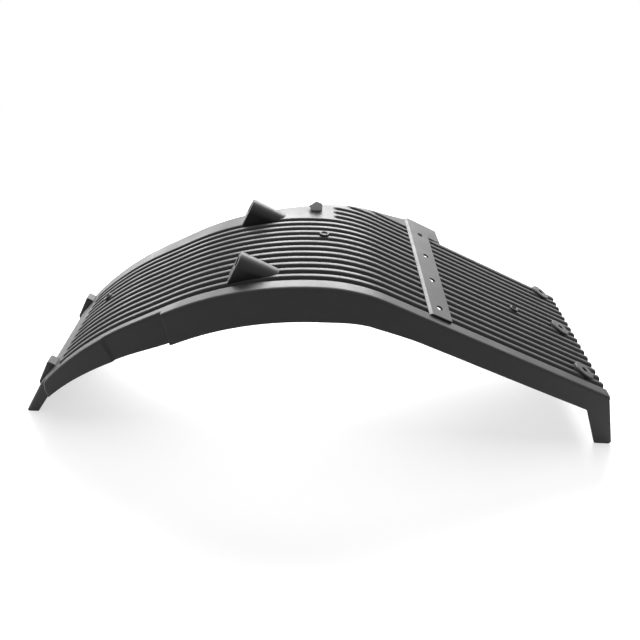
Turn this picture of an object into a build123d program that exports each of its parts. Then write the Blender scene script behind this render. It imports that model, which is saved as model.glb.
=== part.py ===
from build123d import *

import os
from math import cos, radians, sin, tan
from typing import NamedTuple

os.makedirs("parts", exist_ok=True)

# Side view of the deck, from the foot at the left over the crown to the tail at the right
FOOT_SLOPE = 60.0
FOOT_LENGTH = 71.0
HEEL_RADIUS = 150.0
HEEL_SLOPE = 50.0
LEFT_RADIUS = 664.0
SHOULDER_SLOPE = 28.0
SHOULDER_LENGTH = 76.0
CROWN_RADIUS = 591.0
BROW_RADIUS = 302.0
TAIL_SLOPE = 22.8
TAIL_LENGTH = 521.0

# Moulded sheet and its pressed ribs
WALL = 4.0
CREST_WIDTH = 9.0
GROOVE_WIDTH = 13.0
GROOVE_DEPTH = 7.5
GROOVE_DRAFT = 3.6
LONG_GROOVES = 12
SHORT_GROOVES = 5
TAIL_GROOVES = 16
GROOVE_START_SLOPE = 45.8
SHORT_GROOVE_DROP = 4.2

# Plan view: the near skirt steps inwards to the left, the far edge flares out to the stay plate
NEAR_BAND = 28.0
FIRST_JOGGLE = 10.0
FIRST_JOGGLE_BACK = 10.0
SECOND_JOGGLE = 3.0
SECOND_JOGGLE_SLOPE = 34.0
FOOT_SETBACK = 11.0
FAR_RIM = 13.0
FAR_BAND_LEFT = 31.0
FAR_BAND_FLARE = 50.0
FLARE_SLOPE = 16.7
EDGE_ROUND = 6.0
CORNER_RADIUS = 8.0
END_SLANT = 12.0

# Depth of the skirts below the deck, and the leg that ends each of them
SKIRT_AT_FOOT = 19.0
SKIRT_AT_HEEL = 26.0
SKIRT_AT_LEFT = 53.0
SKIRT_AT_SHOULDER = 65.0
SKIRT_AT_CROWN = 73.0
SKIRT_AT_BROW = 59.5
SKIRT_AT_PLATE = 51.0
SKIRT_AT_LEG = 47.0
LEG_INSET = 14.0
LEG_LEAN = 20.4
LEG_FOOT_WIDTH = 36.5
LEG_NECK = 33.0
LEG_ROUND = 5.0

# Raised stay plate across the tail, with a ramp on its left, an ear to its right and a row of bolt holes
PLATE_START = 97.0
PLATE_LENGTH = 53.0
PLATE_NEAR_LENGTH = 44.0
PLATE_NEAR_SHIFT = 4.0
PLATE_RISE = 4.5
PLATE_TOP = 3.0
PLATE_RIM = 6.0
PLATE_RIM_DEPTH = 12.5
PLATE_RAMP = 4.0
PLATE_NEAR_GAP = 6.0
PLATE_FAR = 440.0
PLATE_EAR = 35.0
PLATE_EAR_SLANT = 6.0
PLATE_HOLES = 4
PLATE_FIRST_HOLE = (115.7, 55.0)
PLATE_HOLE_STEP = (2.93, 105.0)
BOLT_HOLE = 13.0

# Round bolt pads along the slanted end of the tail, which slope down to the deck
PADS = 3
PAD_PITCH = 154.0
PAD_FIRST = 62.0
PAD_FROM_END = 44.0
PAD_RADIUS = 23.0
PAD_RISE = 7.0

# Bosses and lugs whose flat faces lean towards the tail
BRACKET_LINES = (62.0, 299.0)
BOSS_SLOPE = 16.7
BOSS_TILT = 25.0
BOSS_HEIGHT = 58.3
BOSS_RADIUS = 22.0
BOSS_LENGTH = 80.0
BOSS_BORE = 24.0
BOSS_BORE_DEPTH = 28.0
LUG_BELOW_HEEL = 35.0
LUG_TILT = 24.7
LUG_HEIGHT = 89.0
LUG_WIDTH = 25.0

# Small stop beside the far edge at the crown, and three moulding stubs along the middle
STOP_OUTLINE = ((-23.0, 0.0), (-30.0, 9.0), (-14.0, 21.0), (-1.0, 16.0), (0.0, 0.0))
STOP_FROM_NEAR = 324.0
STOP_WIDTH = 14.0
STUB_RADIUS = 10.0
STUB_RISE = 4.0
STUB_LINE = 206.0
STUB_LEFT_SLOPE = 39.3
STUB_PAST_CROWN = 0.65
STUB_ON_TAIL = 340.0

# Spare length for sketches that are trimmed later
SPARE = 60.0


class Place(NamedTuple):
    """A point on the top of the deck in side view, with the deck's slope there in degrees."""

    x: float
    z: float
    slope: float

    def off(self, height):
        """The point this far out from the deck."""
        a = radians(self.slope)
        return (self.x - height * sin(a), self.z + height * cos(a))

    def plane(self):
        """The plane across the deck: first axis along the width, second out of the deck."""
        a = radians(self.slope)
        return Plane((self.x, 0, self.z), x_dir=(0, 1, 0), z_dir=(cos(a), 0, sin(a)))


class Run(NamedTuple):
    """One stretch of the deck: an arc that turns down by an angle, or a straight if radius is 0."""

    start: Place
    radius: float
    amount: float

    def at(self, amount):
        """The place this far along the stretch, in degrees on an arc and in mm on a straight."""
        x, z, slope = self.start
        a = radians(slope)
        if not self.radius:
            return Place(x + amount * cos(a), z + amount * sin(a), slope)
        b = radians(slope - amount)
        return Place(
            x + self.radius * (sin(a) - sin(b)),
            z - self.radius * (cos(a) - cos(b)),
            slope - amount,
        )

    def end(self):
        return self.at(self.amount)

    def cut(self, first, last):
        """The part of the stretch between two amounts."""
        return Run(self.at(first), self.radius, last - first)

    def axis(self):
        """The line that an arc turns about."""
        x, z = self.start.off(-self.radius)
        return Axis((x, 0, z), (0, 1, 0))


class Piece(NamedTuple):
    """A stretch of sheet: its far edge, its open grooves and those still filled."""

    run: Run
    far: float
    grooves: int
    filled: int


def groove_start(number):
    """Where a groove begins, counted across the deck from the near face."""
    return NEAR_BAND + number * (CREST_WIDTH + GROOVE_WIDTH)


def deck_section(piece):
    """Outline of the sheet across the deck, in the plane at the start of its stretch."""
    top = [(0, 0)]
    under = [(0, -WALL)]
    floor = -GROOVE_DEPTH - WALL
    full = [(groove_start(n), groove_start(n) + GROOVE_WIDTH) for n in range(piece.grooves)]
    for a, b in full:
        top += [(a, 0), (a + GROOVE_DRAFT, -GROOVE_DEPTH), (b - GROOVE_DRAFT, -GROOVE_DEPTH), (b, 0)]
    if piece.filled:
        last = groove_start(piece.grooves + piece.filled) - CREST_WIDTH
        full.append((groove_start(piece.grooves), last))
    for a, b in full:
        under += [(a - CREST_WIDTH / 2, -WALL), (a, floor), (b, floor)]
    if full:
        under.append((full[-1][1] + CREST_WIDTH / 2, -WALL))
    return top + [(piece.far, 0)] + (under + [(piece.far, -WALL)])[::-1]


def draw_path(runs, height):
    """Side view of the deck this far out from its top, drawn into the current line."""
    for run in runs:
        first, last = run.start.off(height), run.end().off(height)
        if run.radius:
            ThreePointArc(first, run.at(run.amount / 2).off(height), last)
        else:
            Line(first, last)


def draw_far_edge(last_x):
    """Plan view of the far edge, drawn into the current line from the foot to this end of the tail."""
    foot = (LOW_X, FOOT_FAR)
    flare = (CROWN.at(SHOULDER_SLOPE - FLARE_SLOPE).x, LONG_GROOVES_END + FAR_BAND_FLARE)
    plate = (TAIL.at(PLATE_START).x, PLATE_FAR)
    ear = (TAIL.at(EAR_END - PLATE_EAR_SLANT).x, PLATE_FAR)
    Line(foot, flare)
    TangentArc(flare, plate, tangent=(flare[0] - foot[0], flare[1] - foot[1]))
    Polyline(plate, ear, (TAIL.at(EAR_END).x, TAIL_FAR), (last_x, TAIL_FAR))


def draw_near_edge(far_corner, near_corner):
    """Plan view of the end and the stepped near edge, drawn into the current line back to the foot."""
    first = SHOULDER.at(SHOULDER_JOGGLE).x
    second = LEFT.at(LEFT_JOGGLE).x
    foot = LEFT.start.x
    Polyline(
        far_corner,
        near_corner,
        (first, 0),
        (first, SHOULDER_NEAR),
        (second, SHOULDER_NEAR),
        (second, HEEL_NEAR),
        (foot, HEEL_NEAR),
        (foot, FOOT_NEAR),
        (LOW_X, FOOT_NEAR),
        (LOW_X, FOOT_FAR),
    )


# Side view: each stretch starts where the last one ended, and the foot first reaches below ground
START = Place(0.0, 0.0, FOOT_SLOPE)
FOOT = Run(Run(START, 0, FOOT_LENGTH).at(-SPARE), 0, SPARE + FOOT_LENGTH)
HEEL = Run(FOOT.end(), HEEL_RADIUS, FOOT_SLOPE - HEEL_SLOPE)
LEFT = Run(HEEL.end(), LEFT_RADIUS, HEEL_SLOPE - SHOULDER_SLOPE)
SHOULDER = Run(LEFT.end(), 0, SHOULDER_LENGTH)
CROWN = Run(SHOULDER.end(), CROWN_RADIUS, SHOULDER_SLOPE)
BROW = Run(CROWN.end(), BROW_RADIUS, TAIL_SLOPE)
TAIL = Run(BROW.end(), 0, TAIL_LENGTH)
PATH = (FOOT, HEEL, LEFT, SHOULDER, CROWN, BROW, TAIL)

# Plan view: the near face is at 0, and each joggle to the left sets the skirt further in
SHOULDER_NEAR = FIRST_JOGGLE
HEEL_NEAR = SHOULDER_NEAR + SECOND_JOGGLE
FOOT_NEAR = HEEL_NEAR + FOOT_SETBACK
ALL_GROOVES = LONG_GROOVES + SHORT_GROOVES
LONG_GROOVES_END = groove_start(LONG_GROOVES - 1) + GROOVE_WIDTH
FOOT_FAR = LONG_GROOVES_END + FAR_BAND_LEFT
TAIL_FAR = groove_start(TAIL_GROOVES - 1) + GROOVE_WIDTH + FAR_RIM
EAR_END = PLATE_START + PLATE_LENGTH + PLATE_EAR
ACROSS = PLATE_FAR + SPARE
LOW_X = FOOT.start.x - SPARE
HIGH_X = TAIL.end().x + 2 * SPARE
NEAR_CORNER = (TAIL.at(TAIL_LENGTH - END_SLANT).x, 0.0)

# The grooves begin and end against a wall across the deck
LEFT_GROOVE = HEEL_SLOPE - GROOVE_START_SLOPE
LEFT_OPEN = LEFT_GROOVE + WALL / radians(LEFT_RADIUS)
LEFT_JOGGLE = HEEL_SLOPE - SECOND_JOGGLE_SLOPE
SHOULDER_JOGGLE = SHOULDER_LENGTH - FIRST_JOGGLE_BACK
BROW_OPEN = SHORT_GROOVE_DROP + WALL / radians(BROW_RADIUS)
PLATE_MIDDLE = PLATE_START + PLATE_LENGTH / 2
PIECES = (
    Piece(FOOT, ACROSS, 0, 0),
    Piece(HEEL, ACROSS, 0, 0),
    Piece(LEFT.cut(0, LEFT_GROOVE), ACROSS, 0, 0),
    Piece(LEFT.cut(LEFT_GROOVE, LEFT_OPEN), ACROSS, 0, LONG_GROOVES),
    Piece(LEFT.cut(LEFT_OPEN, LEFT.amount), ACROSS, LONG_GROOVES, 0),
    Piece(SHOULDER, ACROSS, LONG_GROOVES, 0),
    Piece(CROWN, ACROSS, LONG_GROOVES, 0),
    Piece(BROW.cut(0, SHORT_GROOVE_DROP), ACROSS, LONG_GROOVES, 0),
    Piece(BROW.cut(SHORT_GROOVE_DROP, BROW_OPEN), ACROSS, LONG_GROOVES, SHORT_GROOVES),
    Piece(BROW.cut(BROW_OPEN, TAIL_SLOPE), ACROSS, ALL_GROOVES, 0),
    Piece(TAIL.cut(0, PLATE_MIDDLE), ACROSS, ALL_GROOVES, 0),
    Piece(TAIL.cut(PLATE_MIDDLE, TAIL_LENGTH), TAIL_FAR, TAIL_GROOVES, 0),
)
TOP = CROWN.end().z + SPARE
BOSS_PLACE = CROWN.at(SHOULDER_SLOPE - BOSS_SLOPE)
LUG_PLACE = FOOT.at(SPARE + FOOT_LENGTH - LUG_BELOW_HEEL)
FILL = GROOVE_DEPTH + WALL / 2


def bracket_plane(place, tilt):
    """The plane of a bracket face that stands at this place and leans towards the tail."""
    a = radians(tilt)
    return Plane((place.x, 0, place.z), x_dir=(0, 1, 0), z_dir=(cos(a), 0, -sin(a)))


def plate_outline(ramp, inset):
    """Outline of the stay plate on the tail with its ramp, or of a hollow this far inside its top."""
    near = NEAR_BAND - PLATE_NEAR_GAP + inset
    far = PLATE_FAR - inset
    near_start = PLATE_START - PLATE_NEAR_SHIFT
    return (
        (near_start - ramp + inset, near),
        (near_start + PLATE_NEAR_LENGTH - inset, near),
        (PLATE_START + PLATE_LENGTH - inset, far),
        (PLATE_START - ramp + inset, far),
    )


def pad_centre(number):
    """Where a pad's middle lies along the tail and across it."""
    across = PAD_FIRST + number * PAD_PITCH
    return (TAIL_LENGTH - END_SLANT * (1 - across / TAIL_FAR) - PAD_FROM_END, across)


def top_plane(place, height):
    """The plane along the deck this far above it: first axis along the deck, second across it."""
    a = radians(place.slope)
    x, z = place.off(height)
    return Plane((x, 0, z), x_dir=(cos(a), 0, sin(a)), z_dir=(-sin(a), 0, cos(a)))


with BuildPart() as deck:
    for piece in PIECES:
        with BuildSketch(piece.run.start.plane()):
            with BuildLine():
                Polyline(*deck_section(piece), close=True)
            make_face()
        if piece.run.radius:
            revolve(axis=piece.run.axis(), revolution_arc=piece.run.amount, clean=False)
        else:
            extrude(amount=piece.run.amount, clean=False)
    with BuildSketch(Plane.XY.offset(-2 * SPARE)):
        with BuildLine():
            draw_far_edge(TAIL.end().x)
            draw_near_edge((TAIL.end().x, TAIL_FAR), NEAR_CORNER)
        make_face()
    extrude(amount=TOP + 2 * SPARE, mode=Mode.INTERSECT)
    # Rounded near corner of the tail
    with BuildSketch(Plane.XY):
        with Locations((NEAR_CORNER[0] - CORNER_RADIUS, 0)):
            Rectangle(SPARE + CORNER_RADIUS, CORNER_RADIUS, align=(Align.MIN, Align.MIN))
        with Locations((NEAR_CORNER[0] - CORNER_RADIUS, CORNER_RADIUS)):
            Circle(CORNER_RADIUS, mode=Mode.SUBTRACT)
    extrude(amount=TOP, mode=Mode.SUBTRACT)


with BuildPart() as skirts:
    leg_top = TAIL.at(TAIL_LENGTH - LEG_INSET).off(-WALL / 2)
    leg_toe = leg_top[0] + leg_top[1] * tan(radians(LEG_LEAN))
    neck = TAIL.at(TAIL_LENGTH - LEG_NECK).off(-SKIRT_AT_LEG)
    under_plate = TAIL.at(PLATE_START).off(-SKIRT_AT_PLATE)
    with BuildSketch(Plane.XZ) as side:
        with BuildLine():
            draw_path(PATH[:-1] + (TAIL.cut(0, TAIL_LENGTH - LEG_INSET),), -WALL / 2)
            Polyline(leg_top, (leg_toe, 0), (leg_toe - LEG_FOOT_WIDTH, 0), neck, under_plate)
            Spline(
                under_plate,
                BROW.end().off(-SKIRT_AT_BROW),
                CROWN.end().off(-SKIRT_AT_CROWN),
                SHOULDER.at(SHOULDER_LENGTH / 2).off(-SKIRT_AT_SHOULDER),
                LEFT.at(LEFT_JOGGLE).off(-SKIRT_AT_LEFT),
                HEEL.start.off(-SKIRT_AT_HEEL),
                FOOT.start.off(-SKIRT_AT_FOOT),
            )
            Line(FOOT.start.off(-SKIRT_AT_FOOT), FOOT.start.off(-WALL / 2))
        make_face()
        fillet(side.vertices().filter_by_position(Axis.Y, -0.01, 0.01), LEG_ROUND)
    extrude(amount=-ACROSS)
    with BuildSketch(Plane.XY.offset(-2 * SPARE)) as plan:
        with BuildLine():
            draw_far_edge(HIGH_X)
            draw_near_edge((HIGH_X, TAIL_FAR), (HIGH_X, 0))
        make_face()
        offset(amount=-WALL, kind=Kind.INTERSECTION, mode=Mode.SUBTRACT)
    extrude(amount=TOP + 2 * SPARE, mode=Mode.INTERSECT)


with BuildPart() as bosses:
    for line in BRACKET_LINES:
        with BuildSketch(bracket_plane(BOSS_PLACE, BOSS_TILT)):
            with Locations((line, BOSS_HEIGHT - BOSS_RADIUS)):
                Circle(BOSS_RADIUS)
                Rectangle(2 * BOSS_RADIUS, BOSS_HEIGHT, align=(Align.CENTER, Align.MAX))
        extrude(amount=BOSS_LENGTH)
    with BuildSketch(Plane.XZ):
        with BuildLine():
            draw_path(PATH, -FILL)
            end = TAIL.end().off(-FILL)
            start = FOOT.start.off(-FILL)
            Polyline(end, (end[0], start[1]), start)
        make_face()
    extrude(amount=-ACROSS, mode=Mode.SUBTRACT)
    for line in BRACKET_LINES:
        with BuildSketch(bracket_plane(BOSS_PLACE, BOSS_TILT)):
            with Locations((line, BOSS_HEIGHT - BOSS_RADIUS)):
                Circle(BOSS_BORE / 2)
        extrude(amount=BOSS_BORE_DEPTH, mode=Mode.SUBTRACT)


with BuildPart() as lugs:
    for line in BRACKET_LINES:
        with BuildSketch(bracket_plane(LUG_PLACE, LUG_TILT)):
            with Locations((line, LUG_HEIGHT)):
                Rectangle(LUG_WIDTH, LUG_HEIGHT + WALL, align=(Align.CENTER, Align.MAX))
        extrude(amount=LUG_HEIGHT)
    with BuildSketch(Plane.XZ.offset(-STOP_FROM_NEAR)):
        with Locations((CROWN.end().x, CROWN.end().z)):
            Polygon(*STOP_OUTLINE, align=None)
        with Locations((CROWN.end().x + STOP_OUTLINE[-1][0], CROWN.end().z)):
            Rectangle(STOP_OUTLINE[-1][0] - STOP_OUTLINE[0][0], WALL, align=(Align.MAX, Align.MAX))
    extrude(amount=-STOP_WIDTH)
    with BuildSketch(Plane.XZ):
        with BuildLine():
            draw_path(PATH, -WALL / 2)
            end = TAIL.end().off(-WALL / 2)
            start = FOOT.start.off(-WALL / 2)
            Polyline(end, (end[0], start[1]), start)
        make_face()
    extrude(amount=-ACROSS, mode=Mode.SUBTRACT)


with BuildPart() as plate:
    with BuildSketch(top_plane(TAIL.start, PLATE_RISE)):
        with BuildLine():
            Polyline(*plate_outline(PLATE_RAMP, 0), close=True)
        make_face()
    extrude(amount=-PLATE_RISE - PLATE_RIM_DEPTH)
    left_edge = (PLATE_START - PLATE_RAMP, PLATE_FAR / 2, 0)
    beside = top_plane(TAIL.start, PLATE_RISE).from_local_coords(left_edge)
    chamfer(plate.edges().sort_by_distance(beside)[0], PLATE_RAMP)


with BuildPart() as ear:
    with BuildSketch(top_plane(TAIL.start, PLATE_RISE)):
        with BuildLine():
            Polyline(
                (PLATE_MIDDLE, TAIL_FAR - FAR_RIM),
                (PLATE_START + PLATE_LENGTH, TAIL_FAR - FAR_RIM),
                (EAR_END, TAIL_FAR),
                (EAR_END - PLATE_EAR_SLANT, PLATE_FAR),
                (PLATE_MIDDLE, PLATE_FAR),
                close=True,
            )
        make_face()
    extrude(amount=-PLATE_RISE - WALL)
    with BuildSketch(Plane.XZ):
        with BuildLine():
            high, low = TAIL.at(PLATE_START + PLATE_LENGTH), TAIL.at(EAR_END)
            above = 2 * PLATE_RISE
            Polyline(high.off(PLATE_RISE), low.off(0), low.off(above), high.off(above), close=True)
        make_face()
    extrude(amount=-ACROSS, mode=Mode.SUBTRACT)


with BuildPart() as pads:
    for number in range(PADS):
        with BuildSketch(top_plane(TAIL.start, PAD_RISE)):
            with Locations(pad_centre(number)):
                Circle(PAD_RADIUS)
        extrude(amount=-PAD_RISE - FILL)
    with BuildSketch(Plane.XZ):
        with BuildLine():
            high, low = TAIL.at(pad_centre(0)[0] - PAD_RADIUS), TAIL.end()
            above = 2 * PAD_RISE
            Polyline(high.off(PAD_RISE), low.off(0), low.off(above), high.off(above), close=True)
        make_face()
    extrude(amount=-ACROSS, mode=Mode.SUBTRACT)


with BuildPart() as stubs:
    for place in (LEFT.at(HEEL_SLOPE - STUB_LEFT_SLOPE), BROW.at(STUB_PAST_CROWN), TAIL.at(STUB_ON_TAIL)):
        with BuildSketch(top_plane(place, STUB_RISE)):
            with Locations((0, STUB_LINE)):
                Circle(STUB_RADIUS)
        extrude(amount=-STUB_RISE - FILL)


with BuildPart() as edge:
    # What the rounding of the near top edge takes away
    for run, near in (
        (LEFT.cut(0, LEFT_JOGGLE), HEEL_NEAR),
        (LEFT.cut(LEFT_JOGGLE, LEFT.amount), SHOULDER_NEAR),
        (SHOULDER.cut(0, SHOULDER_JOGGLE), SHOULDER_NEAR),
        (SHOULDER.cut(SHOULDER_JOGGLE, SHOULDER_LENGTH), 0),
        (CROWN, 0),
        (BROW, 0),
        (TAIL, 0),
    ):
        with BuildSketch(run.start.plane()):
            with Locations((near, 0)):
                Rectangle(2 * EDGE_ROUND, 2 * EDGE_ROUND)
            with Locations((near + EDGE_ROUND, -EDGE_ROUND)):
                Circle(EDGE_ROUND, mode=Mode.SUBTRACT)
        if run.radius:
            revolve(axis=run.axis(), revolution_arc=run.amount)
        else:
            extrude(amount=run.amount)


with BuildPart() as body:
    add([deck.part, skirts.part, bosses.part, lugs.part, plate.part, ear.part, pads.part, stubs.part])
    # Hollow under the stay plate
    with BuildSketch(top_plane(TAIL.start, PLATE_RISE - PLATE_TOP)):
        with BuildLine():
            Polyline(*plate_outline(0, PLATE_RIM), close=True)
        make_face()
    extrude(amount=-SPARE, mode=Mode.SUBTRACT)
    # Bolt holes
    with BuildSketch(top_plane(TAIL.start, SPARE)):
        for number in range(PLATE_HOLES):
            along, across = (a + number * b for a, b in zip(PLATE_FIRST_HOLE, PLATE_HOLE_STEP))
            with Locations((along, across)):
                Circle(BOLT_HOLE / 2)
        for number in range(PADS):
            with Locations(pad_centre(number)):
                Circle(BOLT_HOLE / 2)
    extrude(amount=-2 * SPARE, mode=Mode.SUBTRACT)
    add(edge.part, mode=Mode.SUBTRACT)
    # The foot stands level with the legs
    with BuildSketch(Plane.XY):
        with Locations((LOW_X, 0)):
            Rectangle(CROWN.start.x - LOW_X, ACROSS, align=(Align.MIN, Align.MIN))
    extrude(amount=-2 * SPARE, mode=Mode.SUBTRACT)


with BuildPart() as arch_liner:
    box = body.part.bounding_box()
    with Locations((-box.center().X, -box.center().Y, -box.min.Z)):
        add(body.part)
arch_liner.part.label = "arch_liner"
export_step(arch_liner.part, "parts/arch_liner.step")
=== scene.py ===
"""Moulded, ribbed wheel arch liner with its plate, pads, bosses, lugs, stop and stubs, on a pale floor."""

from math import atan2, cos, hypot, pi, radians, sin, sqrt, tan
from typing import NamedTuple

import bmesh
import bpy
from bpy.props import FloatProperty, FloatVectorProperty, IntProperty, PointerProperty
from mathutils import Matrix, Vector


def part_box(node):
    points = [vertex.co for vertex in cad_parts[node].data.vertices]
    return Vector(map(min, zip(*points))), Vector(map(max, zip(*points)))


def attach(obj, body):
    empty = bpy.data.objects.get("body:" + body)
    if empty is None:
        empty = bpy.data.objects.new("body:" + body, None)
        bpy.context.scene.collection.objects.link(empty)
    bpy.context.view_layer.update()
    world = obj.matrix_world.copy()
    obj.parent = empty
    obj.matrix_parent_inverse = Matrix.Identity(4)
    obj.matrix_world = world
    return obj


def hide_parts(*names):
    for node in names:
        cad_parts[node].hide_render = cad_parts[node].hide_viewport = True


bl_info = {
    "name": "Wheel Arch Liner",
    "version": (1, 0, 0),
    "blender": (4, 5, 0),
    "location": "View3D > Sidebar > Arch Liner",
    "description": "Builds a moulded, ribbed wheel arch liner and its studio stage",
    "category": "Add Mesh",
}

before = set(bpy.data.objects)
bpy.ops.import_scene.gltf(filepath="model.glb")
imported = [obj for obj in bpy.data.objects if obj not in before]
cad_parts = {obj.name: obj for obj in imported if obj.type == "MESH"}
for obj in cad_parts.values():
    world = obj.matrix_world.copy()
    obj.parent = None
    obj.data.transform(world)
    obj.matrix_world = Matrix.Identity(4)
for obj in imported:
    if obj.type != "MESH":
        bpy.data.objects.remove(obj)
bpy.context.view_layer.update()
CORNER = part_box("arch_liner")[0]
NODE = "arch_liner"
MM = 0.001

# Side view of the deck from the foot: radius, or 0 on a straight, and length in mm or turn in degrees
FOOT_SLOPE = 60.0
HEEL_RADIUS = 150.0
LEFT_RADIUS = 664.0
CROWN_RADIUS = 591.0
BROW_RADIUS = 302.0
TAIL_SLOPE = 22.8
TAIL_LENGTH = 521.0
STRETCHES = (
    (0.0, 71.0),
    (HEEL_RADIUS, 10.0),
    (LEFT_RADIUS, 22.0),
    (0.0, 76.0),
    (CROWN_RADIUS, 28.0),
    (BROW_RADIUS, TAIL_SLOPE),
    (0.0, TAIL_LENGTH),
)

# Ribs across the deck, in mm from the near face
NEAR_BAND = 28.0
CREST = 9.0
GROOVE = 13.0
DEPTH = 7.5
DRAFT = 3.6
WALL = 4.0
LONG_GROOVES = 12
ALL_GROOVES = 17
FLARE_EDGE = 333.0
FOOT_EDGE = 314.0
PLATE_EDGE = 440.0
TAIL_EDGE = 384.0
GROOVE_RUN_IN = 6.0
SHORT_GROOVE_RUN_IN = 18.0

# Rounded edges of the shell, and how far the near skirt is set back left of each joggle, in mm
NEAR_ROUND = 6.0
FAR_ROUND = 3.0
SKIRT_CORNER = 15.0
SKIRT_CORNER_REACH = 60.0
SHOULDER_NEAR = 10.0
HEEL_NEAR = 6.0
FOOT_NEAR = 24.0

# Places along the tail, in mm from its start
LEAN_START = 60.0
PLATE_START = 97.0
WINDOW = (100.0, 147.0)
LAST_GROOVE_END = 150.0
EAR_ENDS = (179.0, 185.0)
LEG_START = 440.0
LEG_NECK = 488.0
LEG_TOP = 507.0
END_AT_NEAR = 509.0
END_SLANT = 12.0
END_CORNER = 22.0
END_CORNER_CUT = 2.0

# Legs: slant in degrees, width of the toe, depth of the skirt at the neck and roundings
LEG_LEAN = 20.4
LEG_TOE = 36.5
LEG_SKIRT = 47.0
LEG_BEND = 9
LEG_ROUND = 5

# Stay plate with its ear
PLATE_NEAR = 22
PLATE_OUTLINE = ((93, PLATE_NEAR), (137, PLATE_NEAR), (150, 440), (97, 440))
PLATE_CORNERS = (3, 4, 2, 2)
PLATE_RAMP = 4.0
PLATE_RIM = 6
PLATE_HOLES = tuple((115.7 + 2.93 * n, 55.0 + 105.0 * n) for n in range(4))
EAR_START = 140
EAR_OUTLINE = ((EAR_START, 378), (184.6, 384.4), (178.6, 439.8), (EAR_START, 439.8))
EAR_FALL = (45.6, 55.6)

# Bolt pads at the end of the tail
PAD_CENTRES = tuple((477.0 - END_SLANT * (1 - y / TAIL_EDGE), y) for y in (62.0, 216.0, 370.0))
PAD_RADIUS = 23.0
PAD_RISE = 7.0
PAD_SINK = 9.5
PAD_FACETS = 44
PAD_WINDOW = (0.26, 0.55)
PAD_WINDOW_HALF = 10
BOLT_RADIUS = 6.5

# Bosses, lugs and stop
BRACKET_LINES = (62.0, 299.0)
BOSS_TURN = 11.15
BOSS_TILT = 25.0
BOSS_HEIGHT = 58.3
BOSS_RADIUS = 22.0
BOSS_LENGTH = 75.0
BOSS_BORE = 12.0
BOSS_BORE_DEPTH = 28.0
BOSS_LIP = 2.2
BOSS_SINK = 9.0
LUG_TOP = (54.8, 112.2)
LUG_LOW = (27.6, 58.8)
LUG_WIDTH = 25.0
LUG_SINK = 3.6
STOP_OUTLINE = ((-23, -3), (-23, 0), (-30, 9), (-14, 21), (-1, 16), (0, 0), (0, -3))
STOP_LINE = 331.0
STOP_WIDTH = 14.0

# Moulding stubs: radius and height from the rim's foot over the rim to the hollow
STUB_LINE = 206.0
STUB_FACETS = 28
STUB_RIM = ((10.0, -9.0), (10.0, 2.2), (9.7, 3.3), (9.0, 4.1), (8.0, 4.5), (7.0, 4.4))
STUB_HOLLOW = ((6.2, 3.8), (5.6, 2.8), (5.0, 1.8), (2.0, 1.5))

# Floor in m, and the camera: its place in m, its tilt and roll in degrees, its lens in sensor mm and pixels
FLOOR_REACH = 2.6
FLOOR_FACETS = 96
LIGHT_AIM = (0.0, 0.0, 0.25)
CAMERA_PLACE = (-0.05447, -1.066, 0.8675)
CAMERA_PITCH = 34.8
CAMERA_ROLL = 3.4434
SENSOR = 36.0
FOCAL_PIXELS = 575.0
PICTURE_PIXELS = 640.0


class Stretch(NamedTuple):
    """One stretch of the deck in side view, with where it starts."""

    start: float
    x: float
    z: float
    slope: float
    radius: float
    length: float


def walk_stretches():
    """Every stretch of the deck in order, from the ground at the foot."""
    found = []
    start, x, z, slope = 0.0, 0.0, 0.0, radians(FOOT_SLOPE)
    for radius, amount in STRETCHES:
        length = radius * radians(amount) if radius else amount
        found.append(Stretch(start, x, z, slope, radius, length))
        if radius:
            turned = slope - radians(amount)
            x += radius * (sin(slope) - sin(turned))
            z -= radius * (cos(slope) - cos(turned))
            slope = turned
        else:
            x += amount * cos(slope)
            z += amount * sin(slope)
        start += length
    return found


SIDE = walk_stretches()
HEEL_AT, LEFT_AT, SHOULDER_AT, CROWN_AT, BROW_AT, TAIL_AT = (part.start for part in SIDE[1:])
SECOND_JOGGLE_AT = LEFT_AT + LEFT_RADIUS * radians(16.0)
FIRST_JOGGLE_AT = CROWN_AT - 12.0
GROOVES_AT = LEFT_AT + LEFT_RADIUS * radians(4.2)
SHORT_GROOVES_AT = BROW_AT + BROW_RADIUS * radians(4.2)
FLARE_AT = CROWN_AT + CROWN_RADIUS * radians(11.3)
BOSS_AT = CROWN_AT + CROWN_RADIUS * radians(BOSS_TURN)
STUBS_AT = (LEFT_AT + LEFT_RADIUS * radians(10.7), BROW_AT + BROW_RADIUS * radians(0.65), TAIL_AT + 340.0)
END_AT = TAIL_AT + TAIL_LENGTH


def deck_place(s):
    """Point and slope of the deck's top in side view, this far along it."""
    part = SIDE[0]
    for later in SIDE[1:]:
        if s >= later.start:
            part = later
    run = s - part.start
    if not part.radius:
        return part.x + run * cos(part.slope), part.z + run * sin(part.slope), part.slope
    slope = part.slope - run / part.radius
    x = part.x + part.radius * (sin(part.slope) - sin(slope))
    z = part.z - part.radius * (cos(part.slope) - cos(slope))
    return x, z, slope


def side_point(s, height):
    """Point in side view, this far along the deck and out from it."""
    x, z, slope = deck_place(s)
    return x - height * sin(slope), z + height * cos(slope)


def in_frame(x, y, z):
    """A point of the liner's own drawing, in mm, put into the shared frame."""
    return Vector((CORNER.x + x * MM, CORNER.y + y * MM, CORNER.z + z * MM))


def blend_between(knots, value):
    """Straight-line reading of a list of pairs."""
    if value <= knots[0][0]:
        return knots[0][1]
    for (a, first), (b, last) in zip(knots, knots[1:]):
        if value <= b:
            return first + (last - first) * (value - a) / (b - a)
    return knots[-1][1]


def ease(value):
    """Soft step from 0 to 1."""
    value = min(1.0, max(0.0, value))
    return value * value * (3 - 2 * value)


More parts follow.
